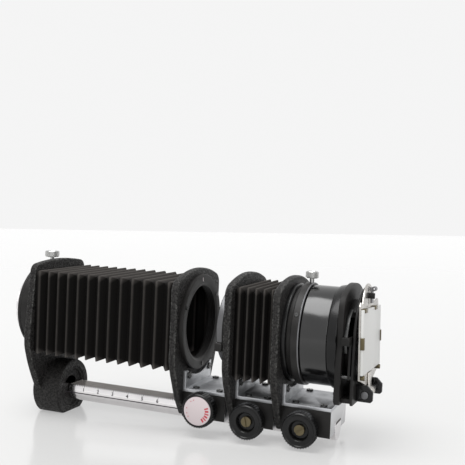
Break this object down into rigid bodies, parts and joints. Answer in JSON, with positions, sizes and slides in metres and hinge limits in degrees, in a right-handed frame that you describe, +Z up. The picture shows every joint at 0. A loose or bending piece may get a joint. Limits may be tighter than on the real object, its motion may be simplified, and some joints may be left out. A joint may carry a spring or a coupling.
{
  "type": "slide duplicator",
  "caption": "Extension bellows and slide duplicator: standards and brackets on a round rack-and-pinion rail, with a turning drum and a hinged opal slide gate.",
  "frame": {"origin": "centre of the foot's flat underside, at the mouth of the tripod socket", "axes": "+X along the rail towards the slide stage, +Z up, -Y on the side of the knobs"},
  "size_m": [0.2174, 0.0622, 0.0977],
  "materials": {
    "wrinkle_black": "black wrinkle paint on cast metal",
    "satin_black": "satin black paint on cast metal",
    "gloss_black": "gloss black",
    "polished_rod": "polished plating",
    "bracket_sheet": "satin sheet",
    "screw_steel": "bare steel",
    "knurled_steel": "knurled, bright",
    "grey_metal": "dull grey",
    "brass": "turned",
    "bellows_skin": "matt pleated skin",
    "white_disc": "white with red marks",
    "opal": "opal white"
  },
  "bodies": {
    "rail": {"rail_rod": "polished_rod", "rear_standard": "wrinkle_black", "rail_grub_screw": "screw_steel", "rear_collar": "wrinkle_black", "long_bellows": "bellows_skin"},
    "camera_ring": {"camera_ring": "polished_rod"},
    "rear_lock": {"rear_lock_screw": "knurled_steel"},
    "lens_carriage": {"lens_standard": "wrinkle_black", "lens_ring": "satin_black", "lens_ring_screws": "screw_steel", "lens_bracket": "bracket_sheet", "lens_bracket_screws": "screw_steel", "lens_block": "satin_black"},
    "drive": {"pinion": "brass", "pinion_shaft": "screw_steel", "shaft_collar": "screw_steel", "drive_knob": "gloss_black", "drive_knob_disc": "white_disc"},
    "front_carriage": {"front_standard": "wrinkle_black", "adapter_base": "satin_black", "adapter_tube": "gloss_black", "adapter_catch": "grey_metal", "front_bracket": "bracket_sheet", "front_bracket_screws": "screw_steel", "front_block": "satin_black", "front_clamp_shoe": "brass", "short_bellows": "bellows_skin"},
    "front_clamp": {"front_clamp_knob": "gloss_black", "front_clamp_screw": "brass"},
    "stage_carriage": {"stage_standard": "wrinkle_black", "stage_bracket": "bracket_sheet", "stage_bracket_screws": "screw_steel", "stage_block": "satin_black", "stage_clamp_shoe": "brass", "mount_ring": "satin_black", "drum_collar": "satin_black", "drum_collar_screw": "screw_steel"},
    "stage_clamp": {"stage_clamp_knob": "gloss_black", "stage_clamp_screw": "brass"},
    "drum_lock": {"drum_lock_screw": "knurled_steel"},
    "drum": {"drum_barrel": "gloss_black", "flare_ring": "gloss_black", "stage_plate": "satin_black", "light_tube": "grey_metal", "channel_floor": "satin_black", "slide_plate": "satin_black", "lever_pin": "screw_steel", "lever_spring": "screw_steel", "hinge_ears": "gloss_black", "hinge_rod": "screw_steel", "hinge_screws": "screw_steel", "gate_tongue": "satin_black"},
    "lever": {"slide_lever": "grey_metal"},
    "gate": {"gate_plate": "grey_metal", "gate_lug": "grey_metal", "opal_panel": "opal", "opal_clips": "grey_metal", "gate_latch": "screw_steel"}
  },
  "joints": [
    {"name": "camera_ring_turn", "type": "hinge", "parent": "rail", "child": "camera_ring", "pos_m": [-0.0097, 0, 0.0634], "axis": [1, 0, 0], "range_deg": [-90, 90]},
    {"name": "rear_lock_turn", "type": "hinge", "parent": "rail", "child": "rear_lock", "pos_m": [-0.0097, 0, 0.0634], "axis": [0, 0, 1], "range_deg": [0, 270]},
    {"name": "lens_slide", "type": "slide", "parent": "rail", "child": "lens_carriage", "axis": [1, 0, 0], "range_m": [-0.05, 0], "deforming": ["long_bellows"]},
    {"name": "drive_turn", "type": "hinge", "parent": "lens_carriage", "child": "drive", "pos_m": [0.1052, 0, 0.01938], "axis": [0, 1, 0], "range_deg": [-1440, 10]},
    {"name": "front_slide", "type": "slide", "parent": "rail", "child": "front_carriage", "axis": [1, 0, 0], "range_m": [0, 0.005]},
    {"name": "front_clamp_turn", "type": "hinge", "parent": "front_carriage", "child": "front_clamp", "pos_m": [0.1329, 0, 0.0172], "axis": [0, 1, 0], "range_deg": [0, 270]},
    {"name": "stage_slide", "type": "slide", "parent": "front_carriage", "child": "stage_carriage", "axis": [1, 0, 0], "range_m": [0, 0.007], "deforming": ["short_bellows"]},
    {"name": "stage_clamp_turn", "type": "hinge", "parent": "stage_carriage", "child": "stage_clamp", "pos_m": [0.1622, 0, 0.0172], "axis": [0, 1, 0], "range_deg": [0, 270]},
    {"name": "drum_lock_turn", "type": "hinge", "parent": "stage_carriage", "child": "drum_lock", "pos_m": [0.15818, 0, 0.0634], "axis": [0, 0, 1], "range_deg": [0, 270]},
    {"name": "drum_turn", "type": "hinge", "parent": "stage_carriage", "child": "drum", "pos_m": [0.1668, 0, 0.0634], "axis": [1, 0, 0], "range_deg": [-90, 90]},
    {"name": "lever_press", "type": "hinge", "parent": "drum", "child": "lever", "pos_m": [0.1863, -0.02488, 0.04728], "axis": [1, 0, 0], "range_deg": [-3, 0], "stiffness_Nm_per_rad": 0.02, "springref_deg": 5.73},
    {"name": "gate_open", "type": "hinge", "parent": "drum", "child": "gate", "pos_m": [0.1931, -0.00141, 0.03654], "axis": [0, 0.9986, -0.0523], "range_deg": [0, 90]}
  ],
  "couplings": [
    {"joint": "drive_turn", "follows": "lens_slide", "rad_per_m": 500}
  ]
}
